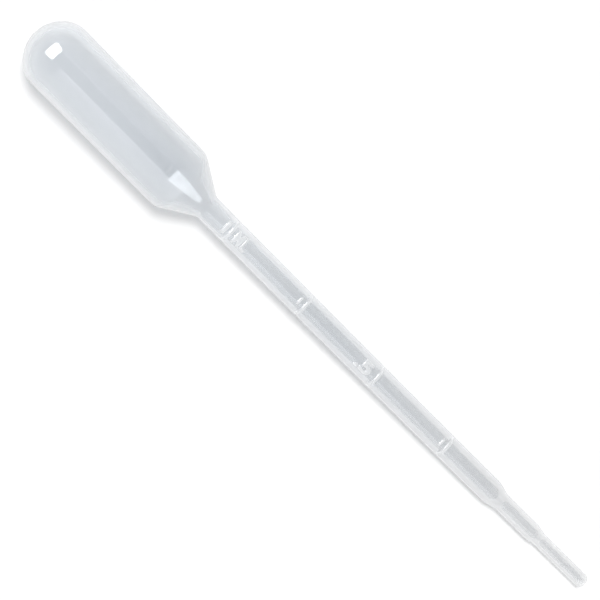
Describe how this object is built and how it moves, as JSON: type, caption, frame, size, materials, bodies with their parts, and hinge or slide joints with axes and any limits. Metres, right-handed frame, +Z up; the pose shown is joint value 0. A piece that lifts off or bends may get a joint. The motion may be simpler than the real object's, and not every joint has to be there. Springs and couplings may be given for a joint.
{
  "type": "dropper pipette",
  "caption": "Plastic dropper pipette moulded in one piece: squeeze bulb, conical shoulder, stem with raised graduations, stepped fine tip, lying on its side.",
  "frame": {"origin": "middle of the whole length, under the pipette, on the surface it lies on", "axes": "+X from the bulb to the tip, +Z up out of that surface, graduations on top"},
  "size_m": [0.155, 0.0132, 0.0145],
  "materials": {
    "polyethylene": "translucent milky low-density polyethylene, smooth and waxy"
  },
  "bodies": {
    "root": {"pipette": "polyethylene"}
  },
  "joints": []
}
